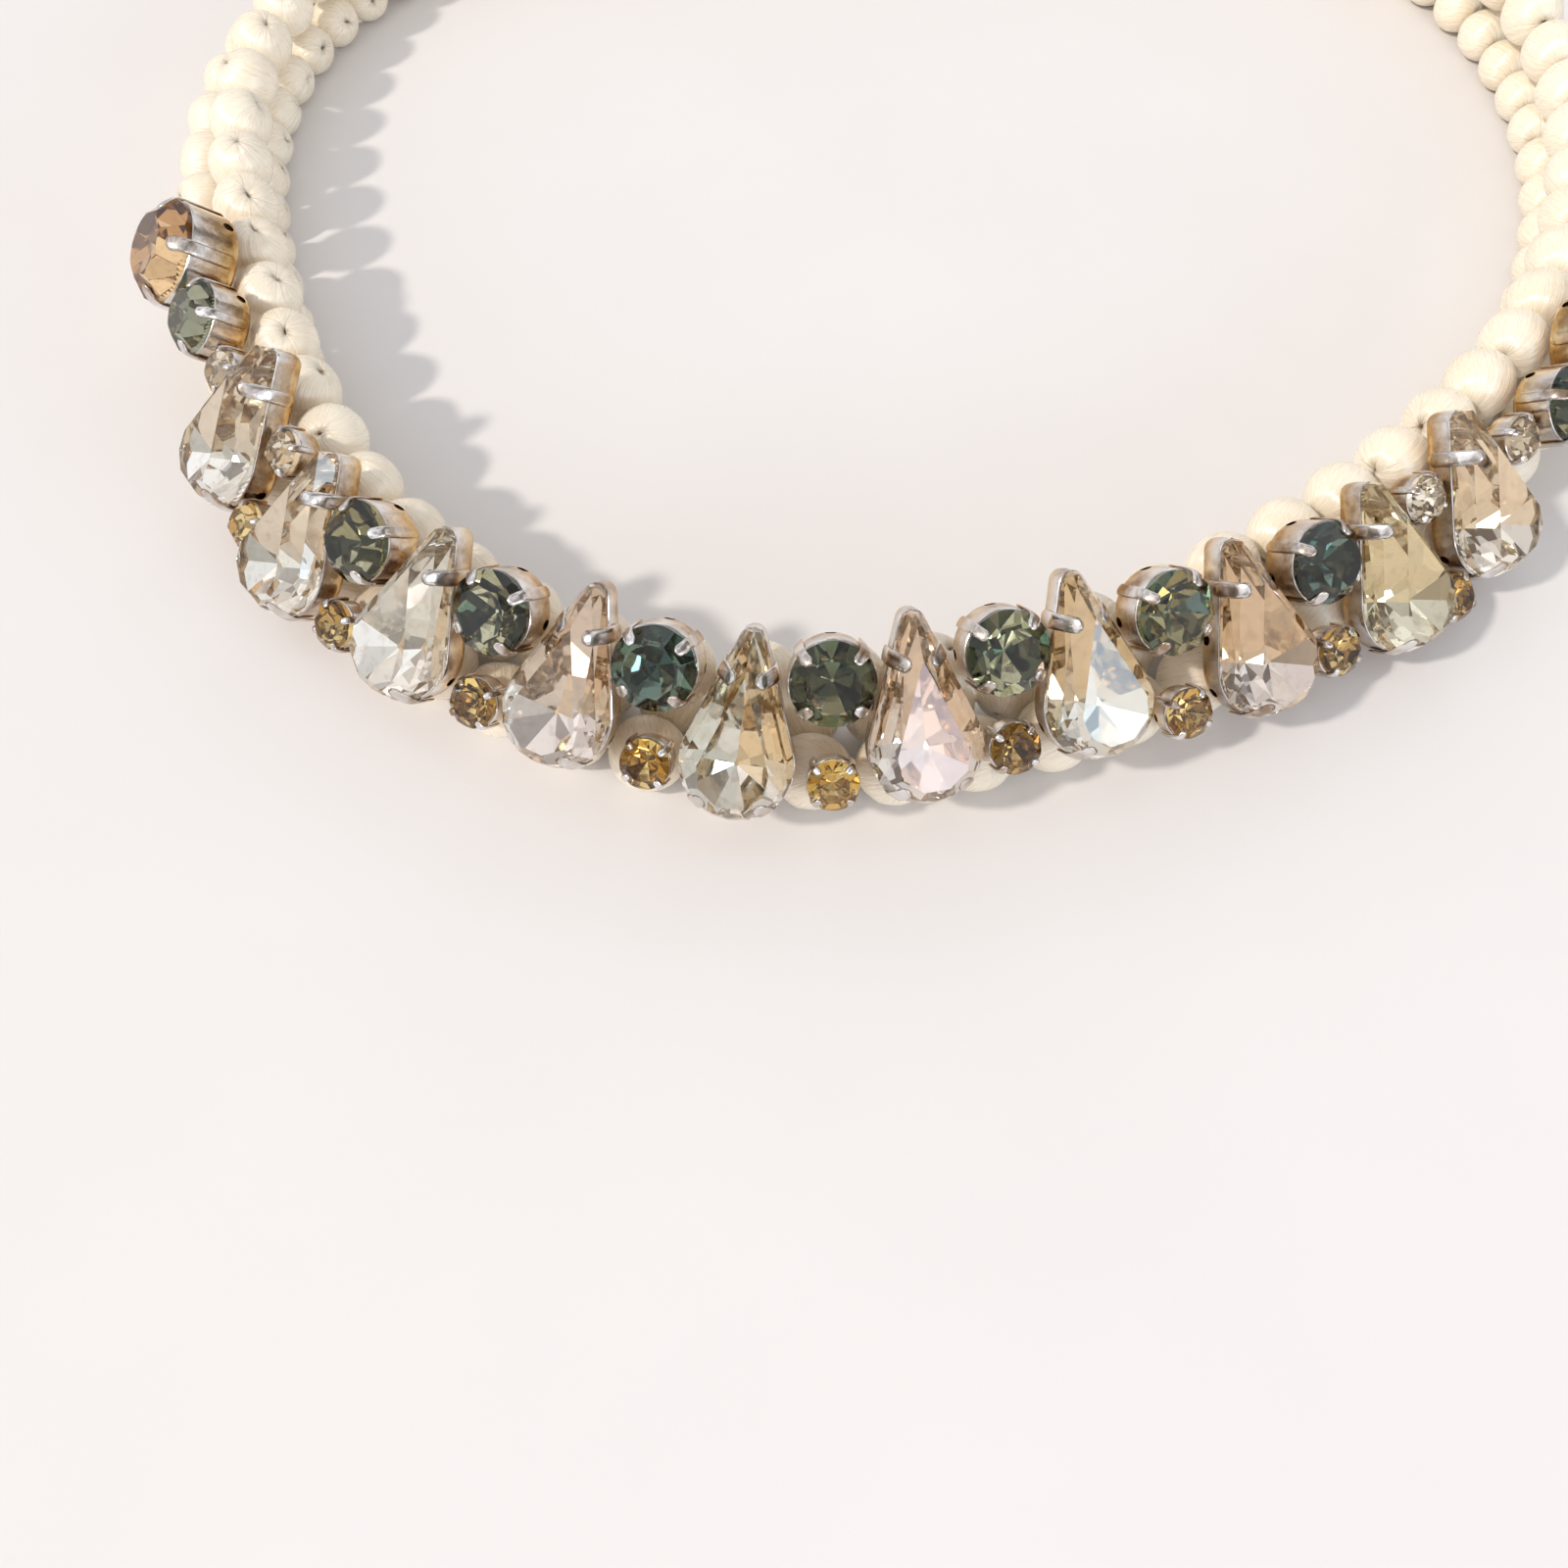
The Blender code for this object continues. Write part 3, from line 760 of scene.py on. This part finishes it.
def pear_outline():
    """Returns a pear with its tip up: two arcs joined by straight sides."""
    wide = PEAR_WIDTH / 2
    tip = PEAR_TIP_WIDTH / 2
    wide_height = wide - PEAR_LENGTH / 2
    tip_height = PEAR_LENGTH / 2 - tip
    splay = math.asin((wide - tip) / (tip_height - wide_height))
    left = np.linspace(0.5 * math.pi, math.pi - splay, TIP_STEPS + 1)
    around = np.linspace(math.pi - splay, 2 * math.pi + splay, PEAR_STEPS + 1)
    right = np.linspace(splay, 0.5 * math.pi, TIP_STEPS + 1)
    stops = [(tip_height, tip, turn) for turn in left]
    stops += [(wide_height, wide, turn) for turn in around]
    stops += [(tip_height, tip, turn) for turn in right]
    return Outline(stops)


# Cut stones


def slice_off(body, point, normal):
    """Cuts away what lies beyond a plane and closes the cut with one facet."""
    geometry = body.verts[:] + body.edges[:] + body.faces[:]
    cut = bmesh.ops.bisect_plane(
        body, geom=geometry, dist=CUT_TOLERANCE, plane_co=point, plane_no=normal, clear_outer=True
    )
    edges = [item for item in cut["geom_cut"] if isinstance(item, bmesh.types.BMEdge)]
    if len(edges) > 2:
        bmesh.ops.holes_fill(body, edges=edges, sides=0)


def cut_stone(kind):
    """Returns the mesh of a kind's cut stone, in metres, with its girdle a little above the cup's rim.

    The main facets face the kind's shares of the outline. With stars the table has a small facet at each of
    its corners, and without them the girdle has. The cuts are made in millimetres.
    """
    scale = MILLIMETRES
    outline = kind.outline
    low = (kind.height + GIRDLE_LIFT) * scale
    high = (kind.height + GIRDLE_LIFT + GIRDLE_HEIGHT) * scale
    top = (kind.height + kind.crown) * scale
    bottom = low - kind.depth * scale
    middle = np.array((0.0, kind.centre * scale))
    body = bmesh.new()
    count = BLANK_SIDES
    rows = []
    for level in (bottom, top):
        row = []
        for step in range(count):
            point = outline.at(step / count, GIRDLE_INSET) * scale
            row.append(body.verts.new((point[0], point[1], level)))
        rows.append(row)
    for step in range(count):
        after = (step + 1) % count
        body.faces.new((rows[0][step], rows[0][after], rows[1][after], rows[1][step]))
    body.faces.new(list(reversed(rows[0])))
    body.faces.new(rows[1])

    def facet(share, first, level, second, goal):
        """Cuts a facet through one share of the outline at a level and another at the goal's level."""
        girdle = outline.at(share, GIRDLE_INSET) * scale
        start = middle + (girdle - middle) * first
        stop = middle + (girdle - middle) * second
        out = outline.normal(share)
        run = float(np.dot(start - stop, out))
        rise = abs(goal - level)
        normal = Vector((out[0] * rise, out[1] * rise, math.copysign(run, goal - level))).normalized()
        slice_off(body, Vector((start[0], start[1], level)), normal)

    def halves(shares):
        return [first + (after - first) / 2 for first, after in zip(shares, shares[1:] + [shares[0] + 1.0])]

    corners = halves(kind.mains)
    girdles = halves(sorted(share % 1.0 for share in kind.mains + corners))
    shoulder = (high + top) / 2
    if not kind.stars:
        for share in girdles:
            facet(share, 1.0, high, SHOULDER_SHARE, shoulder)
    for share in kind.mains:
        if kind.stars:
            facet(share, 1.0, high, TABLE_SHARE, top)
        else:
            facet(share, SHOULDER_SHARE, shoulder, TABLE_SHARE, top)
    if kind.stars:
        for share in corners:
            facet(share, SHOULDER_SHARE, top - (top - shoulder) * STAR_DROP, STAR_SHARE, top)
    for share in kind.mains:
        facet(share, 1.0, low, POINT_SHARE, bottom)
    bmesh.ops.scale(body, verts=body.verts[:], vec=(1 / scale,) * 3)
    body.normal_update()
    mesh = bpy.data.meshes.new("stone")
    body.to_mesh(mesh)
    body.free()
    for face in mesh.polygons:
        face.material_index = 1 if face.normal.z < BACK_FACING else 0
    return mesh


# Cups with claws


def bridge_rows(body, rows):
    """Joins rows of points round one axis into a closed skin."""
    rings = [[body.verts.new(point) for point in row] for row in rows]
    count = len(rings[0])
    for low, high in zip(rings, rings[1:]):
        for step in range(count):
            after = (step + 1) % count
            body.faces.new((low[step], low[after], high[after], high[step]))
    body.faces.new(list(reversed(rings[0])))
    body.faces.new(rings[-1])


def cup_mesh(kind):
    """Returns a kind's stamped cup: rounded foot, upright wall with sewing holes, and rolled rim.

    Its profile holds insets from the outline and heights, from the middle of the foot up and back inside.
    """
    outline = kind.outline
    height = kind.height
    profile = (
        (0.00085, 0.0), (0.00062, 0.00002), (0.00040, 0.00012), (0.00020, 0.00032), (0.00008, 0.00060),
        (0.00003, 0.00100), (0.00001, height - 0.00030), (-0.00002, height - 0.00012),
        (-0.00001, height - 0.00003), (0.00005, height + 0.00002), (0.00012, height),
        (0.00018, height - 0.00008), (0.00020, height - 0.00040), (0.00020, 0.00110),
        (0.00036, 0.00060), (0.00076, 0.00036),
    )
    body = bmesh.new()
    rows = []
    for inset, level in profile:
        rows.append([(*outline.at(step / kind.steps, inset), level) for step in range(kind.steps)])
    bridge_rows(body, rows)
    mesh = bpy.data.meshes.new("cup")
    body.to_mesh(mesh)
    body.free()
    cup = bpy.data.objects.new("cup", mesh)
    bpy.context.scene.collection.objects.link(cup)
    drills = bmesh.new()
    for share in kind.holes:
        point = outline.at(share)
        out = outline.normal(share)
        turn = Vector((out[0], out[1], 0.0)).to_track_quat("Z", "Y").to_matrix().to_4x4()
        place = Matrix.Translation((point[0], point[1], kind.hole_diameter * HOLE_RISE)) @ turn
        bmesh.ops.create_cone(
            drills, cap_ends=True, segments=DRILL_SIDES, radius1=kind.hole_diameter / 2,
            radius2=kind.hole_diameter / 2, depth=DRILL_LENGTH, matrix=place,
        )
    drill_mesh = bpy.data.meshes.new("drills")
    drills.to_mesh(drill_mesh)
    drills.free()
    drill = bpy.data.objects.new("drills", drill_mesh)
    bpy.context.scene.collection.objects.link(drill)
    cutting = cup.modifiers.new("holes", "BOOLEAN")
    cutting.operation = "DIFFERENCE"
    cutting.object = drill
    bpy.context.view_layer.update()
    depsgraph = bpy.context.evaluated_depsgraph_get()
    result = bpy.data.meshes.new_from_object(cup.evaluated_get(depsgraph))
    bpy.data.objects.remove(cup)
    bpy.data.objects.remove(drill)
    return result


def claw_rows(outline, share, path, width):
    """Returns the rows of points of one claw, a tongue with round ends. Its path is insets and heights."""
    base = outline.at(share)
    out = outline.normal(share)
    side = np.array((-out[1], out[0], 0.0))
    outward = np.array((out[0], out[1], 0.0))
    rise = np.array((0.0, 0.0, 1.0))
    knots = np.array(path)
    steps = np.linalg.norm(np.diff(knots, axis=0), axis=1)
    lengths = np.concatenate([[0.0], np.cumsum(steps)])
    total = lengths[-1]
    end = width / 2

    def on_path(station):
        """Returns the inset and height at a length along the claw."""
        return np.array([np.interp(station, lengths, column) for column in knots.T])

    turns = np.linspace(CLAW_END_START, math.pi / 2, CLAW_END_STEPS)
    stops = [end * (1 - math.cos(turn)) for turn in turns]
    straight = list(np.linspace(end, total - end, CLAW_STEPS))[1:-1]
    stations = stops + straight + [total - stop for stop in reversed(stops)]
    rows = []
    for station in stations:
        inset, level = on_path(station)
        ahead = min(station + total * CLAW_SMOOTHING, total)
        behind = max(station - total * CLAW_SMOOTHING, 0.0)
        run = on_path(ahead) - on_path(behind)
        run /= np.linalg.norm(run)
        face = outward * run[1] + rise * run[0]
        near = min(station, total - station)
        half = end if near >= end else math.sqrt(max(end ** 2 - (end - near) ** 2, 1e-12))
        from_tip = ((total - station) - end) / (CLAW_SWELL_REACH * width)
        thick = CLAW_THICKNESS + CLAW_SWELL * math.exp(-from_tip ** 2)
        thick *= CLAW_END_THICKNESS + (1 - CLAW_END_THICKNESS) * half / end
        centre = np.array((base[0], base[1], 0.0)) - outward * inset + rise * level
        row = []
        for turn in np.linspace(0.0, 2 * math.pi, CLAW_SIDES, endpoint=False):
            flat = math.copysign(abs(math.cos(turn)) ** CLAW_SQUARENESS[0], math.cos(turn))
            deep = math.copysign(abs(math.sin(turn)) ** CLAW_SQUARENESS[1], math.sin(turn))
            row.append(tuple(centre + side * (flat * half) + face * (deep * thick)))
        rows.append(row)
    return rows


def setting_mesh(kind):
    """Returns a kind's cup with its claws as one mesh."""
    body = bmesh.new()
    body.from_mesh(cup_mesh(kind))
    path = claw_path(kind.height, kind.crown, kind.reach)
    for share in kind.claws:
        bridge_rows(body, claw_rows(kind.outline, share, path, kind.claw_width))
    bmesh.ops.recalc_face_normals(body, faces=body.faces[:])
    mesh = bpy.data.meshes.new("setting")
    body.to_mesh(mesh)
    body.free()
    mesh.shade_smooth()
    mesh.set_sharp_from_angle(angle=CUP_SHARP_ANGLE)
    # The share of painted amber bounce light and shade, growing toward the foot of the cup
    heights = np.array([vertex.co.z for vertex in mesh.vertices])
    low = np.clip((PAINTED_GLOW_TOP * kind.height - heights) / (PAINTED_GLOW_FADE * kind.height), 0.0, 1.0)
    mesh.attributes.new("painted_low_glow", "FLOAT", "POINT").data.foreach_set("value", low.astype(np.float32))
    return mesh


def claw_path(height, crown, reach):
    """Returns a claw's insets and heights: up the wall, over the girdle and onto the crown by reach."""
    return (
        (-0.00006, 0.00045), (-0.00011, 0.00080), (-0.00012, height - 0.0002), (-0.00006, height + 0.0002),
        (0.00010, height + 0.0006), (reach * 0.5, height + crown * 0.50), (reach, height + crown * 0.74),
    )


def pear_seats(ring):
    """Returns each pear's place: length along the ring, height up the slope and lean in radians."""
    seats = []
    for index, (shift, up, lean) in enumerate(PEARS):
        along = ring.front + (index - (len(PEARS) - 1) / 2 + shift) * PEAR_PITCH
        seats.append((along, up * BEAD_DIAMETER, math.radians(lean)))
    return seats


def field_seats(ring):
    """Returns the places of every stone by kind. Each place is length along, height up and lean."""
    pears = pear_seats(ring)
    gaps = [((left[0] + right[0]) / 2, (left[1] + right[1]) / 2) for left, right in zip(pears, pears[1:])]
    greys = [(along, up + GREY_RISE, 0.0) for along, up in gaps[1:-1]]
    smalls = [(along, up - drop, 0.0) for (along, up), drop in zip(gaps, SMALL_DROPS)]
    smalls += [(along, up + SMALL_HIGH_RISE, 0.0) for along, up in (gaps[0], gaps[-1])]
    larges = []
    past_ends = ((smalls, END_SMALL), (greys, END_GREY), (larges, END_LARGE))
    for places, (distance, left_up, right_up) in past_ends:
        places.append((pears[0][0] - distance, left_up, 0.0))
        places.append((pears[-1][0] + distance, right_up, 0.0))
    return {"pear": pears, "grey": sorted(greys), "end": larges, "small": sorted(smalls)}


def seat_matrix(ring, seat):
    along, up, lean = seat
    lift = BEAD_DIAMETER / 2 + PIECE_GAP
    return ring.slope_frame(along, up, lift) @ Matrix.Rotation(-lean, 4, "Z")


def placed_copy(mesh, name, matrix):
    copy = mesh.copy()
    copy.name = name
    copy.transform(matrix)
    return copy


def tint_stone_and_paint_reflections(mesh, cast, random, by_direction):
    """Gives each facet a place among the stone's tints, which are partly painted reflection, and the whole
    stone a cast.

    With by_direction a facet's place follows the way it faces, so its painted reflection goes by direction,
    and otherwise it is drawn at random.
    """
    shades = random.uniform(0, 1, len(mesh.polygons))
    if by_direction:
        ways = [math.atan2(-face.normal.x, face.normal.y) / (2 * math.pi) for face in mesh.polygons]
        shades = (np.array(ways) + (shades - 0.5) * DIRECTION_BLUR + 0.5 / len(CHAMPAGNE_TINTS_AND_REFLECTIONS)) % 1.0
    shades = shades.astype(np.float32)
    mesh.attributes.new("facet", "FLOAT", "FACE").data.foreach_set("value", shades)
    casts = np.tile(np.array(cast, np.float32), len(mesh.vertices))
    mesh.attributes.new("stone_cast", "FLOAT_VECTOR", "POINT").data.foreach_set("vector", casts)
    return mesh


def stone_kinds():
    """Returns what each kind of stone and its cup is made from, in metres and shares of the outline."""
    cut_round = {"centre": 0.0, "mains": ROUND_MAINS, "stars": True, "claws": ROUND_CLAWS}
    return {
        "pear": SimpleNamespace(
            outline=pear_outline(), centre=PEAR_WIDTH / 2 - PEAR_LENGTH / 2, height=PEAR_CUP_HEIGHT,
            crown=PEAR_CROWN, depth=0.0017, mains=PEAR_MAINS, stars=False, claws=PEAR_CLAWS,
            claw_width=0.00115, reach=0.0012, holes=PEAR_HOLES, hole_diameter=0.0008, steps=96,
        ),
        "grey": SimpleNamespace(
            **cut_round, outline=round_outline(GREY_DIAMETER), height=GREY_CUP_HEIGHT,
            crown=GREY_CROWN, depth=0.0023, claw_width=0.00085, reach=0.0009,
            holes=ROUND_HOLES, hole_diameter=0.0008, steps=64,
        ),
        "end": SimpleNamespace(
            **cut_round, outline=round_outline(LARGE_DIAMETER), height=LARGE_CUP_HEIGHT,
            crown=LARGE_CROWN, depth=0.0032, claw_width=0.0012, reach=0.0012,
            holes=ROUND_HOLES, hole_diameter=0.0009, steps=80,
        ),
        "small": SimpleNamespace(
            **cut_round, outline=round_outline(SMALL_DIAMETER), height=SMALL_CUP_HEIGHT,
            crown=SMALL_CROWN, depth=0.0014, claw_width=0.00055, reach=0.00055,
            holes=SMALL_HOLES, hole_diameter=0.0006, steps=48,
        ),
    }


def build_field(ring, metal, stones):
    """Makes every cup and crystal of the front."""
    random = np.random.default_rng(SEED)
    seats = field_seats(ring)
    for name, kind in stone_kinds().items():
        setting = setting_mesh(kind)
        stone = cut_stone(kind)
        is_pear = name == "pear"
        is_small = name == "small"
        for number, seat in enumerate(seats[name], start=1):
            matrix = seat_matrix(ring, seat)
            node = f"small_stone_{number:02d}" if is_small else f"{name}_setting_{number:02d}"
            cup_name = f"{name}_cup_{number:02d}"
            dress(add_object(cup_name, placed_copy(setting, cup_name, matrix), metal), node)
            gem_name = f"{name}_crystal_{number:02d}"
            glass, foil = stones["clear" if is_small and number in CLEAR_SMALLS else name]
            cast = CASTS[PEAR_CASTS[number - 1] if is_pear else "clear"]
            tinted = tint_stone_and_paint_reflections(stone.copy(), cast, random, is_pear)
            gem = add_object(gem_name, placed_copy(tinted, gem_name, matrix), glass, foil)
            dress(gem, None if is_small else f"{name}_stone_{number:02d}")


# Light, floor and camera


def add_area(name, place, target, size, power, colour):
    data = bpy.data.lights.new(name, "AREA")
    data.shape = "DISK"
    data.size = size
    data.energy = power
    data.color = colour
    item = bpy.data.objects.new(name, data)
    bpy.context.scene.collection.objects.link(item)
    item.location = place
    item.rotation_mode = "QUATERNION"
    item.rotation_quaternion = (Vector(target) - Vector(place)).to_track_quat("-Z", "Y")


def build_lights():
    """A warm key from the left, and a cool and a pink window at the front right."""
    key_data = bpy.data.lights.new("warm_key", "SUN")
    key_data.energy = KEY_STRENGTH
    key_data.angle = KEY_ANGLE
    key_data.color = KEY_COLOUR
    key = bpy.data.objects.new("warm_key", key_data)
    bpy.context.scene.collection.objects.link(key)
    key.rotation_mode = "QUATERNION"
    key.rotation_quaternion = Vector(KEY_WAY).to_track_quat("-Z", "Y")
    front = Vector(FRONT)
    for name, azimuth, elevation, size, power, colour in WINDOWS:
        turn = math.radians(azimuth)
        rise = math.radians(elevation)
        way = Vector((math.sin(turn) * math.cos(rise), -math.cos(turn) * math.cos(rise), math.sin(rise)))
        add_area(name, front + way * WINDOW_DISTANCE, front, size, power, colour)


def build_surround():
    """A soft pale surround with darker patches high up, which the crystals and cups mirror."""
    world = bpy.data.worlds.new("pale_surround")
    world.use_nodes = True
    tree = world.node_tree
    background = tree.nodes["Background"]
    coordinates = tree.nodes.new("ShaderNodeTexCoord")
    patches = tree.nodes.new("ShaderNodeTexNoise")
    patches.inputs["Scale"].default_value = 2.2
    patches.inputs["Detail"].default_value = 1.0
    ramp = tree.nodes.new("ShaderNodeValToRGB")
    set_stops(ramp, SURROUND_PATCHES)
    way = tree.nodes.new("ShaderNodeSeparateXYZ")
    above = tree.nodes.new("ShaderNodeMapRange")
    above.inputs["From Min"].default_value = PLAIN_BELOW
    above.inputs["From Max"].default_value = PATCHES_ABOVE
    blend = tree.nodes.new("ShaderNodeMix")
    blend.data_type = "RGBA"
    factor, plain, patched = [blend.inputs[index] for index in MIX_INPUTS]
    plain.default_value = (*PLAIN_SURROUND, 1.0)
    for source, target in (
        (coordinates.outputs["Generated"], patches.inputs["Vector"]),
        (patches.outputs["Fac"], ramp.inputs["Fac"]),
        (coordinates.outputs["Generated"], way.inputs["Vector"]),
        (way.outputs["Z"], above.inputs["Value"]),
        (above.outputs["Result"], factor),
        (ramp.outputs["Color"], patched),
        (blend.outputs[MIX_RESULT], background.inputs["Color"]),
    ):
        tree.links.new(source, target)
    background.inputs["Strength"].default_value = 1.0
    bpy.context.scene.world = world


def build_floor():
    bpy.ops.mesh.primitive_plane_add(size=FLOOR_SIZE)
    floor = bpy.context.active_object
    floor.name = "floor"
    floor.data.materials.append(floor_material())


def build_camera():
    data = bpy.data.cameras.new("camera")
    data.lens = LENS
    data.sensor_width = SENSOR_WIDTH
    data.clip_start = 0.001
    camera = bpy.data.objects.new("camera", data)
    bpy.context.scene.collection.objects.link(camera)
    turn = Matrix.Rotation(CAMERA_TURN, 4, "Z")
    tilt = Matrix.Rotation(math.pi / 2 - CAMERA_PITCH, 4, "X")
    camera.matrix_world = Matrix.Translation(CAMERA_PLACE) @ turn @ tilt
    bpy.context.scene.camera = camera


def set_view():
    """Lets light pass often enough through foiled stones, and keeps the picture's colours as lit."""
    scene = bpy.context.scene
    scene.cycles.max_bounces = 24
    scene.cycles.glossy_bounces = 14
    scene.cycles.transmission_bounces = 16
    scene.view_settings.view_transform = "Standard"


def stone_materials():
    """Returns the glass and the mirror coat of each kind of stone, and of the clear small ones."""
    return {
        "pear": (
            crystal_material("champagne crystal", (0.985, 0.965, 0.93), (0.95, 0.90, 0.82), 0.10),
            foil_material("champagne foil", CHAMPAGNE_TINTS_AND_REFLECTIONS),
        ),
        "grey": (
            crystal_material("smoke grey crystal", (0.61, 0.61, 0.49), (0.36, 0.37, 0.30)),
            foil_material("smoke foil", SMOKE_TINTS_AND_REFLECTIONS),
        ),
        "end": (
            crystal_material("peach crystal", (0.95, 0.76, 0.52), (0.82, 0.57, 0.33)),
            foil_material("peach foil", PEACH_TINTS_AND_REFLECTIONS),
        ),
        "small": (
            crystal_material("golden crystal", (0.94, 0.82, 0.52), (0.78, 0.58, 0.30)),
            foil_material("golden foil", GOLDEN_TINTS_AND_REFLECTIONS),
        ),
        "clear": (
            crystal_material("clear crystal", (0.97, 0.93, 0.86), (0.92, 0.82, 0.66)),
            foil_material("clear foil", CLEAR_TINTS_AND_REFLECTIONS),
        ),
    }


def main():
    set_view()
    ring = Ring()
    build_strands(ring, silk_material(), core_thread_material())
    build_field(ring, metal_material("silver tone plating", CUP_STAINS), stone_materials())
    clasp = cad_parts["clasp"]
    clasp.data.materials.clear()
    clasp.data.materials.append(metal_material("clasp plating", CLASP_STAINS))
    build_lights()
    build_surround()
    build_floor()
    build_camera()


main()
